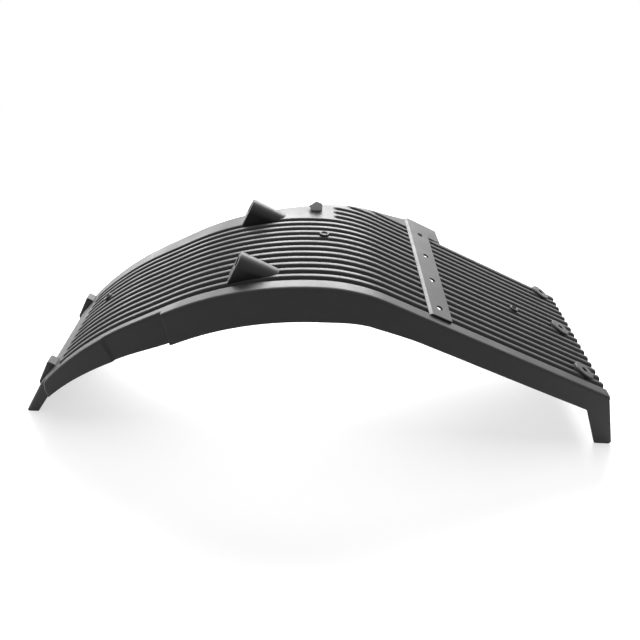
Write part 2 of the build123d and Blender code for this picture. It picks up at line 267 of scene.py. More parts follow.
def joggle(s, inner, outer, radius):
    """Rounded step where the near skirt comes out, read along the deck."""
    turn = [radians(15 * n) for n in range(7)]
    step = [(s + radius * (1 - cos(a)), outer + radius * (1 - sin(a))) for a in turn]
    return [(s - 0.8, inner)] + step


def soft_joggle(s, inner, outer, reach):
    """Gentle step of the near skirt, read along the deck."""
    shares = [n / 8 for n in range(9)]
    return [(s + reach * (2 * t - 1), inner + (outer - inner) * ease(t)) for t in shares]


NEAR_EDGE = (
    joggle(LEFT_AT, FOOT_NEAR, HEEL_NEAR, 9.0)
    + soft_joggle(SECOND_JOGGLE_AT, HEEL_NEAR, SHOULDER_NEAR, 5.0)
    + joggle(FIRST_JOGGLE_AT, SHOULDER_NEAR, 0.0, 3.0)
)
SKIRT_LEAN = (
    (0.0, 0.0),
    (HEEL_AT, -22.0),
    (SECOND_JOGGLE_AT, -14.0),
    (FIRST_JOGGLE_AT, -21.0),
    (BROW_AT, 0.0),
)


def near_edge(s, depth):
    """Where the near face lies, this far along the deck and below it: the skirt's left corner is rounded."""
    if s >= LEFT_AT + SKIRT_CORNER_REACH:
        return blend_between(NEAR_EDGE, s)
    above = max(0.0, 1 - depth / SKIRT_CORNER)
    return blend_between(NEAR_EDGE, s - SKIRT_CORNER * (1 - sqrt(1 - above**2)))


SKIRT_DEPTHS = (
    (-60.0, 19.0),
    (HEEL_AT, 25.0),
    (SECOND_JOGGLE_AT, 53.0),
    (SHOULDER_AT + 38.0, 65.0),
    (BROW_AT, 73.0),
    (TAIL_AT, 59.5),
    (TAIL_AT + PLATE_START, 51.0),
    (TAIL_AT + LEG_NECK, LEG_SKIRT),
)


def skirt_depth(s):
    """Depth of the skirts below the deck, on a smooth curve through the known depths."""
    knots = SKIRT_DEPTHS
    if s >= knots[-2][0]:
        return blend_between(knots[-2:], s)
    n = max(k for k in range(len(knots) - 1) if knots[k][0] <= max(s, knots[0][0]))

    def steepness(k):
        low, high = max(k - 1, 0), min(k + 1, len(knots) - 1)
        return (knots[high][1] - knots[low][1]) / (knots[high][0] - knots[low][0])

    (a, first), (b, last) = knots[n], knots[n + 1]
    t = (s - a) / (b - a)
    bend = (b - a) * (t**3 - 2 * t**2 + t) * steepness(n) + (b - a) * (t**3 - t**2) * steepness(n + 1)
    return (2 * t**3 - 3 * t**2 + 1) * first + (3 * t**2 - 2 * t**3) * last + bend


def far_edge(s):
    """Width of the deck at the far side: a straight, then a flare that bends out to the stay plate."""
    t = s - TAIL_AT
    if t >= PLATE_START:
        return blend_between(((EAR_ENDS[0], PLATE_EDGE), (EAR_ENDS[1], TAIL_EDGE)), t)
    x = deck_place(s)[0]
    flare_x = deck_place(FLARE_AT)[0]
    plate_x = deck_place(TAIL_AT + PLATE_START)[0]
    lean = (FLARE_EDGE - FOOT_EDGE) / (flare_x + 90.0)
    if x <= flare_x:
        return FLARE_EDGE + lean * (x - flare_x)
    reach, rise = plate_x - flare_x, PLATE_EDGE - FLARE_EDGE
    chord = hypot(reach, rise)
    turn = atan2(rise, reach) - atan2(lean, 1.0)
    radius = chord / (2 * sin(turn))
    tilt = atan2(lean, 1.0)
    middle = (flare_x - radius * sin(tilt), FLARE_EDGE + radius * cos(tilt))
    return middle[1] - sqrt(radius**2 - (x - middle[0]) ** 2)


def tail_end(y):
    """Where the tail ends at this width: slanted, with a rounded near corner."""
    corner = max(0.0, 1 - y / END_CORNER)
    return END_AT_NEAR + END_SLANT * y / TAIL_EDGE - END_CORNER_CUT * corner**2


def line_across(s, y):
    """Where a line across the deck lies at this width: it leans along the stay plate and the end."""
    t = s - TAIL_AT
    if t <= LEAN_START:
        return s
    lean = (y - PLATE_NEAR) / (PLATE_EDGE - PLATE_NEAR)
    knots = (
        (LEAN_START, LEAN_START),
        (WINDOW[0], 96.0 + 4 * lean),
        (WINDOW[1], 134.0 + 13 * lean),
        (EAR_ENDS[0], EAR_ENDS[0]),
        (LEG_START, LEG_START),
        (TAIL_LENGTH, tail_end(y)),
    )
    return TAIL_AT + blend_between(knots, t)


def round_corner(before, corner, after, radius, steps):
    """Points of an arc that rounds the corner between two straight lines."""
    back = Vector(before) - Vector(corner)
    ahead = Vector(after) - Vector(corner)
    back.normalize()
    ahead.normalize()
    half = back.angle(ahead) / 2
    reach = radius / tan(half)
    middle = Vector(corner) + (back + ahead).normalized() * (radius / sin(half))
    first = Vector(corner) + back * reach - middle
    last = Vector(corner) + ahead * reach - middle
    sweep = first.angle_signed(last)
    turned = []
    for n in range(steps + 1):
        a = -sweep * n / steps
        point = Vector((first.x * cos(a) - first.y * sin(a), first.x * sin(a) + first.y * cos(a)))
        turned.append(tuple(middle + point))
    return turned


def rounded_outline(points, radii, steps=4):
    """A closed outline with its corners rounded, each by its own radius or left sharp at 0."""
    outline = []
    for n, corner in enumerate(points):
        if radii[n]:
            before, after = points[n - 1], points[(n + 1) % len(points)]
            outline += round_corner(before, corner, after, radii[n], steps)
        else:
            outline.append(tuple(corner))
    return outline


class Column(NamedTuple):
    """One line of points along the deck: its width, its drop in a full groove, and the groove's number."""

    y: float
    drop: float
    under: float
    groove: int


def groove_columns(shape):
    """Columns of all ribs and grooves, rounded at the crests and in the roots."""
    columns = []
    for n in range(ALL_GROOVES):
        a = NEAR_BAND + n * (CREST + GROOVE)
        b = a + GROOVE
        floor = [(a + DRAFT, -DEPTH), (b - DRAFT, -DEPTH)]
        line = [(a - CREST / 2, 0), (a, 0)] + floor + [(b, 0), (b + CREST / 2, 0)]
        points = [line[0]]
        for k in range(1, 5):
            radius = shape.crest_round if k in (1, 4) else shape.root_round
            points += round_corner(line[k - 1], line[k], line[k + 1], radius, shape.round_steps)
        under = ((a - CREST / 2, 0.0), (a, 1.0), (b, 1.0), (b + CREST / 2, 0.0))
        columns += [Column(y, -h / DEPTH, blend_between(under, y), n) for y, h in points]
    return columns


def groove_share(n, s, edge):
    """How deep a groove is at this place: 0 before it starts, 1 when full."""
    if n < LONG_GROOVES:
        return ease((s - GROOVES_AT) / GROOVE_RUN_IN)
    room = edge - (NEAR_BAND + n * (CREST + GROOVE) + GROOVE)
    if n == ALL_GROOVES - 1 and s > TAIL_AT + LAST_GROOVE_END:
        return 0.0
    return ease((s - SHORT_GROOVES_AT) / SHORT_GROOVE_RUN_IN) * ease((room - 2) / 9)


def leg_track():
    """Lower edge of a skirt from the tail round its leg, with how far along the last lines it is reached."""
    neck = side_point(TAIL_AT + LEG_NECK, -LEG_SKIRT)
    top = side_point(TAIL_AT + LEG_TOP, -WALL / 2)
    toe = top[0] + top[1] * tan(radians(LEG_LEAN))
    left, right = (toe - LEG_TOE, 0.0), (toe, 0.0)
    start = side_point(TAIL_AT + LEG_START, -LEG_SKIRT)
    bend = round_corner(start, neck, left, LEG_BEND, 4)
    heel = round_corner(neck, left, right, LEG_ROUND, 4)
    tip = round_corner(left, right, top, LEG_ROUND, 4)
    track = [(0.0, start)]
    for first, step, points in ((0.55, 0.03, bend), (0.76, 0.02, heel), (0.96, 0.01, tip)):
        track += [(first + step * k, point) for k, point in enumerate(points)]
    return track


LEG = leg_track()


def skirt_line(s):
    """Top and bottom of the skirts in side view on this line across the deck."""
    share = (s - TAIL_AT - LEG_START) / (TAIL_LENGTH - LEG_START)
    if share <= 0:
        below = s + blend_between(SKIRT_LEAN, s)
        return side_point(s, -NEAR_ROUND), side_point(below, -skirt_depth(below))
    foot = tuple(blend_between([(at, point[k]) for at, point in LEG], share) for k in (0, 1))
    return side_point(TAIL_AT + LEG_START + 70 * share, -NEAR_ROUND), foot


def lines_along():
    """Places of the lines across the deck, close together where the shape changes quickly."""
    places = {0.0, 20.0, 45.0, HEEL_AT, LEFT_AT - 4}
    places |= {s for s, _ in NEAR_EDGE} | {LEFT_AT + 1.5 * n for n in range(16)}
    for part in SIDE[1:]:
        step = {0.0: 38.0, HEEL_RADIUS: 5.0, BROW_RADIUS: 8.0}.get(part.radius, 13.0)
        count = max(1, round(part.length / step))
        places |= {part.start + part.length * n / count for n in range(count)}
    places |= {GROOVES_AT + GROOVE_RUN_IN * n / 5 for n in range(6)}
    places |= {SHORT_GROOVES_AT + 3.6 * n for n in range(6)}
    places = {s for s in places if s < TAIL_AT + LEAN_START or TAIL_AT + 190 < s < TAIL_AT + 420}
    places |= {TAIL_AT + t for t in (LEAN_START, 80, *WINDOW, 150.5, 165, 178, *EAR_ENDS, 182, 186)}
    leg_shares = [at for at, _ in LEG] + [PAD_WINDOW[0]]
    places |= {TAIL_AT + LEG_START + (TAIL_LENGTH - LEG_START) * share for share in leg_shares}
    ordered = sorted(places)
    return [s for n, s in enumerate(ordered) if n == 0 or s - ordered[n - 1] > 1e-4]


def foot_slide(s, height):
    """The first line of the shell is cut level with the ground."""
    return -height / tan(radians(FOOT_SLOPE)) if s == 0.0 else s


def end_slide(s, height):
    """The last lines of the shell lean more and more, so that the tail's end is upright."""
    return -0.5 * height * max(0.0, (s - TAIL_AT - LEG_START) / (TAIL_LENGTH - LEG_START))


def shell_lines(shape):
    """Outer and inner points of the shell, line by line, with the width of each column for its windows."""
    ribs = groove_columns(shape)
    edge_turn = [radians(90 * n / 7) for n in range(8)]
    hem = (0.0, 0.35, 1.2, 2.2)
    hem_in = (1.2, 0.35, 0.0, 0.0)
    lines = []
    for s in lines_along():
        near, far = near_edge(s, 0.0), far_edge(s)
        top, foot = skirt_line(s)
        if s == 0.0:
            top = side_point(foot_slide(s, -NEAR_ROUND), -NEAR_ROUND)
            foot = side_point(foot_slide(s, -skirt_depth(s)), -skirt_depth(s))
        drop = hypot(top[0] - foot[0], top[1] - foot[1])
        shares = [rise / drop for rise in hem] + [0.3, 0.5, 0.65, 0.8, 0.9, 0.97]
        insets = list(hem_in) + [0.0] * 6
        outer, inner, widths = [], [], []

        def put(points, y, point):
            points.append(in_frame(point[0], y, point[1]))

        def put_deck(points, y, height):
            put(points, y, side_point(foot_slide(line_across(s, y), height) + end_slide(s, height), height))

        for share, inset in zip(shares, insets):
            point = (foot[0] + (top[0] - foot[0]) * share, foot[1] + (top[1] - foot[1]) * share)
            face = near_edge(s, NEAR_ROUND + drop * (1 - share))
            put(outer, face + inset, point)
            put(inner, face + WALL - inset, point)
            widths.append(face)
        for a in edge_turn:
            face = near_edge(s, NEAR_ROUND - NEAR_ROUND * sin(a))
            for points, radius in ((outer, NEAR_ROUND), (inner, NEAR_ROUND - WALL)):
                y, height = face + NEAR_ROUND - radius * cos(a), -NEAR_ROUND + radius * sin(a)
                if a == 0.0:
                    put(points, y, top)
                else:
                    put_deck(points, y, height)
            widths.append(near + NEAR_ROUND - NEAR_ROUND * cos(a))
        reach = near + NEAR_ROUND
        for y in (near + 10, NEAR_BAND - 3.0):
            reach = y = max(y, reach + 0.02)
            put_deck(outer, y, 0.0)
            put_deck(inner, y, -WALL)
            widths.append(y)
        shelf = far - FAR_ROUND
        for n, column in enumerate(ribs):
            reach = y = min(max(column.y, reach + 0.02), shelf - 0.05 * (len(ribs) - n))
            full = groove_share(column.groove, s, far)
            put_deck(outer, y, -DEPTH * column.drop * full)
            put_deck(inner, y, -WALL - DEPTH * column.under * full)
            widths.append(y)
        for a in edge_turn[::2][::-1] + [0.0]:
            y = far - FAR_ROUND + FAR_ROUND * cos(a)
            put_deck(outer, y, -FAR_ROUND + FAR_ROUND * sin(a))
            put_deck(inner, min(far - WALL, y), -WALL)
            widths.append(y)
        for share, inset in list(zip(shares, insets))[::-1]:
            point = (foot[0] + (top[0] - foot[0]) * share, foot[1] + (top[1] - foot[1]) * share)
            put(outer, far - inset, point)
            put(inner, far - WALL + inset, point)
            widths.append(far)
        lines.append((s - TAIL_AT, outer, inner, widths))
    return lines


def in_window(t, after, y, beyond):
    """Whether this patch of the deck is open: under the stay plate and at the pads' bolt holes."""
    middle, width = (t + after) / 2, (y + beyond) / 2
    if WINDOW[0] < middle < WINDOW[1] and 30 < width < 436.5:
        return True
    first, last = (LEG_START + (TAIL_LENGTH - LEG_START) * share for share in PAD_WINDOW)
    if first < middle < last:
        return any(line - PAD_WINDOW_HALF < y and beyond < line + PAD_WINDOW_HALF for _, line in PAD_CENTRES)
    return False


def smooth(mesh, angle):
    """Smooth shading that breaks at real edges."""
    mesh.shade_smooth()
    mesh.set_sharp_from_angle(angle=radians(angle))


def finish_piece(name, mesh, material, angle=38):
    """Turns a mesh into a piece of the liner, with this material and on its body."""
    smooth(mesh, angle)
    mesh.materials.clear()
    mesh.materials.append(material)
    piece = bpy.data.objects.new(name, mesh)
    bpy.context.scene.collection.objects.link(piece)
    even = piece.modifiers.new("even_faces", "WEIGHTED_NORMAL")
    even.keep_sharp = True
    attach(piece, "root")
    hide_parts(NODE)
    return piece


def turn_outwards(mesh, near):
    """Merges points this near to each other and turns all faces outwards."""
    work = bmesh.new()
    work.from_mesh(mesh)
    bmesh.ops.remove_doubles(work, verts=work.verts, dist=near)
    bmesh.ops.recalc_face_normals(work, faces=work.faces)
    work.to_mesh(mesh)
    work.free()
    return mesh


def mesh_from(name, points, faces):
    """A mesh with its faces turned outwards."""
    mesh = bpy.data.meshes.new(name)
    mesh.from_pydata(points, [], faces)
    return turn_outwards(mesh, 1e-7)


def sew(faces, first, last):
    """Joins two rings of points by a band of faces."""
    for n in range(len(first)):
        m = (n + 1) % len(first)
        faces.append((first[n], first[m], last[m], last[n]))


def turned(points, faces, profile, count, place):
    """Adds a profile turned round its axis, each point put in place, and gives its rings of points."""
    rings = []
    for radius, up in profile:
        rings.append(list(range(len(points), len(points) + count)))
        for n in range(count):
            a = 2 * pi * n / count
            points.append(place(radius * cos(a), radius * sin(a), up))
    for first, last in zip(rings, rings[1:]):
        sew(faces, first, last)
    return rings


def slab(name, outlines, thickness, edge, place):
    """A flat slab with rounded edges, from an outline and its holes, put in place by a function."""
    drawing = bpy.data.curves.new(name + "_drawing", "CURVE")
    drawing.dimensions = "2D"
    drawing.fill_mode = "BOTH"
    drawing.bevel_depth = edge
    drawing.bevel_resolution = 2
    drawing.offset = -edge
    drawing.extrude = thickness / 2 - edge
    for outline in outlines:
        spline = drawing.splines.new("POLY")
        spline.points.add(len(outline) - 1)
        for point, (u, v) in zip(spline.points, outline):
            point.co = (u, v, 0.0, 1.0)
        spline.use_cyclic_u = True
    holder = bpy.data.objects.new(name + "_drawing", drawing)
    bpy.context.scene.collection.objects.link(holder)
    bpy.context.view_layer.update()
    shown = holder.evaluated_get(bpy.context.evaluated_depsgraph_get())
    mesh = bpy.data.meshes.new_from_object(shown)
    bpy.data.objects.remove(holder)
    bpy.data.curves.remove(drawing)
    mesh.name = name
    for vertex in mesh.vertices:
        vertex.co = place(*vertex.co)
    return turn_outwards(mesh, 1e-6)


def circle(u, v, radius, count=32):
    """Points of a hole, wound against the outline round it."""
    turns = [-2 * pi * n / count for n in range(count)]
    return [(u + radius * cos(a), v + radius * sin(a)) for a in turns]


def join(name, meshes):
    """Several meshes as one."""
    work = bmesh.new()
    for mesh in meshes:
        work.from_mesh(mesh)
        bpy.data.meshes.remove(mesh)
    joined = bpy.data.meshes.new(name)
    work.to_mesh(joined)
    work.free()
    return joined


class LinerShape(bpy.types.PropertyGroup):
    """Sizes of the moulded details, in millimetres."""

    crest_round: FloatProperty(
        name="Crest rounding", description="Radius of a rib's top edges in mm", default=3.4, min=0.5, max=5.0
    )
    root_round: FloatProperty(
        name="Root rounding",
        description="Radius at the foot of a groove's walls in mm",
        default=3.0,
        min=0.5,
        max=5.0,
    )
    round_steps: IntProperty(
        name="Rounding steps", description="Facets on each rounded edge of a rib", default=3, min=2, max=6
    )
    edge_round: FloatProperty(
        name="Bracket edges", description="Radius of the edges of lugs and stop in mm", default=2.6, min=0.3
    )
    boss_end: FloatProperty(
        name="Boss end", description="Radius of a boss at its low end in mm", default=19.0, min=3.0, max=22.0
    )


class LinerFinish(bpy.types.PropertyGroup):
    """Colour and surface of the moulded plastic."""

    plastic: FloatVectorProperty(
        name="Plastic",
        description="Colour of the charcoal plastic",
        subtype="COLOR",
        size=3,
        default=(0.029, 0.0292, 0.0296),
    )
    # Light grey for the small stop is a painted highlight; the stop is the same charcoal plastic
    stop: FloatVectorProperty(
        name="Stop", description="Colour of the small stop", subtype="COLOR", size=3, default=(0.8, 0.8, 0.8)
    )
    roughness: FloatProperty(
        name="Roughness",
        description="How dull the moulded surface is",
        subtype="FACTOR",
        default=0.46,
        min=0.0,
        max=1.0,
    )
    grain_depth: FloatProperty(
        name="Grain depth",
        description="Strength of the fine moulded grain",
        subtype="FACTOR",
        default=0.12,
        min=0.0,
        max=1.0,
    )


class LinerStage(bpy.types.PropertyGroup):
    """Studio light and floor."""

    softbox: FloatProperty(
        name="Softbox",
        description="Power of the large light behind the liner in watts",
        unit="POWER",
        default=285.0,
    )
    sides: FloatProperty(
        name="Sides",
        description="Power of the low light behind at the left in watts",
        unit="POWER",
        default=52.0,
    )
    above: FloatProperty(
        name="Above", description="Power of the light over the liner in watts", unit="POWER", default=42.0
    )
    room: FloatProperty(name="Room", description="Strength of the room's even light", default=0.2, min=0.0)
    floor: FloatVectorProperty(
        name="Floor", description="Colour of the pale floor", subtype="COLOR", size=3, default=(0.5, 0.5, 0.5)
    )


def grain_group():
    """Shared moulded-surface effect: a fine grain height, a change of colour and a change of gloss."""
    found = bpy.data.node_groups.get("moulded_grain")
    if found:
        return found
    group = bpy.data.node_groups.new("moulded_grain", "ShaderNodeTree")
    face = group.interface
    face.new_socket("Colour", in_out="INPUT", socket_type="NodeSocketColor")
    face.new_socket("Roughness", in_out="INPUT", socket_type="NodeSocketFloat")
    face.new_socket("Colour", in_out="OUTPUT", socket_type="NodeSocketColor")
    face.new_socket("Roughness", in_out="OUTPUT", socket_type="NodeSocketFloat")
    face.new_socket("Height", in_out="OUTPUT", socket_type="NodeSocketFloat")
    nodes, link = group.nodes, group.links.new
    entry = nodes.new("NodeGroupInput")
    leave = nodes.new("NodeGroupOutput")
    where = nodes.new("ShaderNodeTexCoord")
    grain = nodes.new("ShaderNodeTexNoise")
    grain.inputs["Scale"].default_value = 900.0
    grain.inputs["Detail"].default_value = 3.0
    cloud = nodes.new("ShaderNodeTexNoise")
    cloud.inputs["Scale"].default_value = 14.0
    cloud.inputs["Detail"].default_value = 4.0
    shade = nodes.new("ShaderNodeMapRange")
    shade.inputs["From Min"].default_value = 0.3
    shade.inputs["From Max"].default_value = 0.7
    shade.inputs["To Min"].default_value = 0.86
    shade.inputs["To Max"].default_value = 1.14
    tint = nodes.new("ShaderNodeMix")
    tint.data_type = "RGBA"
    tint.blend_type = "MULTIPLY"
    tint.inputs["Factor"].default_value = 1.0
    gloss = nodes.new("ShaderNodeMath")
    gloss.operation = "MULTIPLY"
    for noise in (grain, cloud):
        link(where.outputs["Object"], noise.inputs["Vector"])
    link(cloud.outputs["Fac"], shade.inputs["Value"])
    link(entry.outputs["Colour"], tint.inputs["A"])
    link(shade.outputs["Result"], tint.inputs["B"])
    link(entry.outputs["Roughness"], gloss.inputs[0])
    link(shade.outputs["Result"], gloss.inputs[1])
    link(tint.outputs["Result"], leave.inputs["Colour"])
    link(gloss.outputs["Value"], leave.inputs["Roughness"])
    link(grain.outputs["Fac"], leave.inputs["Height"])
    return group


def moulded_plastic(name, colour, finish):
    """Moulded plastic of this colour with a satin grain."""
    found = bpy.data.materials.get(name)
    if found:
        return found
    material = bpy.data.materials.new(name)
    material.use_nodes = True
    nodes, link = material.node_tree.nodes, material.node_tree.links.new
    surface = nodes["Principled BSDF"]
    surface.inputs["Specular IOR Level"].default_value = 0.22
    grain = nodes.new("ShaderNodeGroup")
    grain.node_tree = grain_group()
    grain.inputs["Colour"].default_value = (*colour, 1.0)
    grain.inputs["Roughness"].default_value = finish.roughness
    bump = nodes.new("ShaderNodeBump")
    bump.inputs["Strength"].default_value = finish.grain_depth
    bump.inputs["Distance"].default_value = 0.0004
    link(grain.outputs["Colour"], surface.inputs["Base Color"])
    link(grain.outputs["Roughness"], surface.inputs["Roughness"])
    link(grain.outputs["Height"], bump.inputs["Height"])
    link(bump.outputs["Normal"], surface.inputs["Normal"])
    return material


def charcoal_plastic(finish):
    """The plastic of the whole liner."""
    return moulded_plastic("charcoal_plastic", finish.plastic, finish)


def painted_highlight_plastic(finish):
    """Light grey for the small stop: a painted highlight that stands for glare on the same charcoal plastic.
    """
    return moulded_plastic("painted_highlight_plastic", finish.stop, finish)


class LINER_OT_shell(bpy.types.Operator):
    """Build the ribbed deck with its skirts and legs as one moulded sheet"""

    bl_idname = "liner.shell"
    bl_label = "Ribbed Shell"

    def execute(self, context):
        scene = context.scene
        lines = shell_lines(scene.liner_shape)
        count = len(lines[0][1])
        points = [point for _, outer, inner, _ in lines for point in outer + inner]
        faces = []

        for n in range(len(lines) - 1):
            t, after, widths = lines[n][0], lines[n + 1][0], lines[n][3]
            out, out_next = 2 * n * count, 2 * (n + 1) * count
            for j in range(count - 1):
                if in_window(t, after, widths[j], widths[j + 1]):
                    continue
                for a, b in ((out + j, out_next + j), (out + count + j, out_next + count + j)):
                    faces.append((a, a + 1, b + 1, b))
            for j in (0, count - 1):
                faces.append((out + j, out + count + j, out_next + count + j, out_next + j))
        for n in (0, len(lines) - 1):
            for a in range(2 * n * count, 2 * n * count + count - 1):
                faces.append((a, a + 1, a + count + 1, a + count))
        mesh = mesh_from("ribbed_shell", points, faces)
        finish_piece("ribbed_shell", mesh, charcoal_plastic(scene.liner_finish))
        return {"FINISHED"}


def on_tail(height):
    """A function that lays a drawing on the tail, its middle this high above the deck, all in mm."""
    a = radians(TAIL_SLOPE)
    x, z, _ = deck_place(TAIL_AT)

    def lay(u, v, w):
        w += height
        return in_frame(x + u * cos(a) + w * sin(a), v, z - u * sin(a) + w * cos(a))

    return lay


class LINER_OT_plate(bpy.types.Operator):
    """Build the raised stay plate with its ear, its row of bolt holes and the rim of its hollow"""

    bl_idname = "liner.plate"
    bl_label = "Stay Plate"

    def execute(self, context):
        scene = context.scene
        holes = [circle(u, v, BOLT_RADIUS) for u, v in PLATE_HOLES]
        outline = rounded_outline(PLATE_OUTLINE, PLATE_CORNERS)
        top = slab("stay_plate", [outline] + holes, 4.2, 1.2, on_tail(2.4))
        hollow = self.inside(PLATE_RIM)[::-1]
        rim_line = rounded_outline(self.inside(0.1), PLATE_CORNERS)
        rim = slab("stay_plate_rim", [rim_line, hollow], 15.5, 0.3, on_tail(-4.75))
        mesh = join("stay_plate", [top, rim, self.ramp(), self.ear()])
        finish_piece("stay_plate", mesh, charcoal_plastic(scene.liner_finish))
        return {"FINISHED"}

    def inside(self, inset):
        """Corners of the plate, moved in from its sides."""
        ways = ((1, 1), (-1, 1), (-1, -1), (1, -1))
        return [(u + du * inset, v + dv * inset) for (u, v), (du, dv) in zip(PLATE_OUTLINE, ways)]

    def ramp(self):
        """The sloping left side of the plate, a strip from its near end to its far end."""
        (start, near), _, _, (far_start, far) = PLATE_OUTLINE
        lay = on_tail(0.0)
        profile = ((1.6, -3.0), (-PLATE_RAMP, -3.0), (-PLATE_RAMP, 0.3), (-0.6, 3.7), (0.4, 4.3), (1.6, 4.48))
        ends = ((start, near + 0.3), (far_start, far - 0.3))
        points = [lay(u + du, v, up) for u, v in ends for du, up in profile]
        count = len(profile)
        faces = [(n, (n + 1) % count, count + (n + 1) % count, count + n) for n in range(count)]
        faces += [tuple(range(count)), tuple(range(count, 2 * count))]
        return mesh_from("stay_plate_ramp", points, faces)

    def ear(self):
        """The plate's far corner to the right, level at the far edge and sloping down to the ribs."""
        lay = on_tail(0.0)

        def slope(u, v, w):
            height = w + 0.1
            if height > 0:
                right, near = (u - EAR_START) / EAR_FALL[0], (PLATE_EDGE - v) / EAR_FALL[1]
                height *= 1 - max(0.0, min(1.0, right)) * max(0.0, min(1.0, near))
            return lay(u, v, height)

        return slab("stay_plate_ear", [rounded_outline(EAR_OUTLINE, (0, 3, 4, 0))], 8.2, 0.6, slope)


class LINER_OT_pads(bpy.types.Operator):
    """Build the bolt pads that slope down to the end of the tail"""

    bl_idname = "liner.pads"
    bl_label = "Bolt Pads"

    def execute(self, context):
        scene = context.scene
        lay = on_tail(0.0)
        fall = TAIL_LENGTH - PAD_CENTRES[0][0] + PAD_RADIUS
        top = PAD_RISE
        profile = [(BOLT_RADIUS, -PAD_SINK), (PAD_RADIUS, -PAD_SINK), (PAD_RADIUS, 0.3)]
        profile += [(22.9, 4.4), (22.4, 5.7), (21.2, 6.7), (19.6, top)]
        profile += [(7.3, top), (6.8, top - 0.1), (BOLT_RADIUS, top - 0.5)]
        points, faces = [], []
        for middle, line in PAD_CENTRES:

            def place(across, beside, height):
                u = middle + across
                return lay(u, line + beside, height * (TAIL_LENGTH - u) / fall if height > 0 else height)

            rings = turned(points, faces, profile, PAD_FACETS, place)
            sew(faces, rings[-1], rings[0])
        mesh = mesh_from("bolt_pads", points, faces)
        finish_piece("bolt_pads", mesh, charcoal_plastic(scene.liner_finish))
        return {"FINISHED"}


def rise_to_deck(x, z, tilt, depth):
    """How far a leaning line runs up from a point to where it is this deep in the deck."""
    low, high = -90.0, 90.0
    for _ in range(40):
        rise = (low + high) / 2
        px, pz = x + rise * sin(tilt), z + rise * cos(tilt)
        s_low, s_high = 0.0, END_AT
        for _ in range(40):
            s = (s_low + s_high) / 2
            s_low, s_high = (s, s_high) if side_point(s, -depth)[0] < px else (s_low, s)
        low, high = (rise, high) if pz < side_point(s, -depth)[1] else (low, rise)
    return low


class LINER_OT_bosses(bpy.types.Operator):
    """Build the tapered bosses at the crown, each with a rounded rim and a bore in its flat face"""

    bl_idname = "liner.bosses"
    bl_label = "Bosses"

    def execute(self, context):
        scene = context.scene
        end_radius = scene.liner_shape.boss_end
        a = radians(BOSS_TILT)
        bx, bz, _ = deck_place(BOSS_AT)
        points, faces = [], []

        def spot(along, y, up):
            return in_frame(bx + along * cos(a) + up * sin(a), y, bz - along * sin(a) + up * cos(a))

        def section(along, size, inset):
            middle = BOSS_HEIGHT - size
            low = rise_to_deck(bx + along * cos(a), bz - along * sin(a), a, BOSS_SINK)
            arc = [radians(180 - 9 * n) for n in range(21)]
            ring = [((size - inset) * cos(t), max(low, middle + (size - inset) * sin(t))) for t in arc]
            bottom = min(low, middle)
            for side in (1, -1):
                shares = (0.5, 1.0)[::side]
                ups = [max(low, middle + (bottom - middle) * share) for share in shares]
                ring += [(side * (size - inset), up) for up in ups]
            return ring, middle

        def add_ring(along, line, ring):
            start = len(points)
            points.extend(spot(along, line + y, up) for y, up in ring)
            return list(range(start, start + len(ring)))

        for line in BRACKET_LINES:
            face_ring, middle = section(0.0, BOSS_RADIUS, 2.0)
            toward = [atan2(up - middle, y) for y, up in face_ring]
            rings = []
            for along, wider in ((BOSS_BORE_DEPTH, 0.0), (1.0, 0.0), (0.3, 0.3), (0.0, 1.0)):
                size = BOSS_BORE + wider
                rings.append(add_ring(along, line, [(size * cos(t), middle + size * sin(t)) for t in toward]))
            faces.append(tuple(rings[0]))
            rings.append(add_ring(0.0, line, face_ring))
            for along, inset in ((0.25, 1.1), (0.9, 0.4), (BOSS_LIP, 0.0)):
                rings.append(add_ring(along, line, section(along, BOSS_RADIUS, inset)[0]))
            for n in range(1, 21):
                along = BOSS_LIP + (BOSS_LENGTH - BOSS_LIP) * n / 20
                size = BOSS_RADIUS + (end_radius - BOSS_RADIUS) * n / 20
                rings.append(add_ring(along, line, section(along, size, 0.0)[0]))
            faces.append(tuple(rings[-1]))
            for first, last in zip(rings, rings[1:]):
                sew(faces, first, last)
        mesh = mesh_from("bosses", points, faces)
        finish_piece("bosses", mesh, charcoal_plastic(scene.liner_finish))
        return {"FINISHED"}


def upright(line):
    """A function that stands a side-view drawing across the deck at this width."""

    def stand(u, v, w):
        return in_frame(u, line + w, v)

    return stand


class LINER_OT_lugs(bpy.types.Operator):
    """Build the two wedge-shaped lugs above the foot and the small stop at the crown"""

    bl_idname = "liner.lugs"
    bl_label = "Lugs and Stop"

    def execute(self, context):
        scene = context.scene
        edge = scene.liner_shape.edge_round
        deck = [side_point(HEEL_AT + 54.0 - 76.0 * n / 8, -LUG_SINK) for n in range(9)]
        outline = rounded_outline([LUG_TOP] + deck + [LUG_LOW], [4.0] + [0.0] * len(deck) + [8.0], 8)[::-1]
        meshes = [slab("lug", [outline], LUG_WIDTH, edge, upright(line)) for line in BRACKET_LINES]
        finish_piece("lugs", join("lugs", meshes), charcoal_plastic(scene.liner_finish))
        cx, cz, _ = deck_place(BROW_AT)
        stop = rounded_outline([(cx + u, cz + v) for u, v in STOP_OUTLINE][::-1], (0, 0, 2, 2, 2, 0, 0))
        mesh = slab("stop", [stop], STOP_WIDTH, 1.0, upright(STOP_LINE))
        # The stop gets the light grey: a painted highlight in place of its charcoal plastic
        finish_piece("stop", mesh, painted_highlight_plastic(scene.liner_finish))
        return {"FINISHED"}


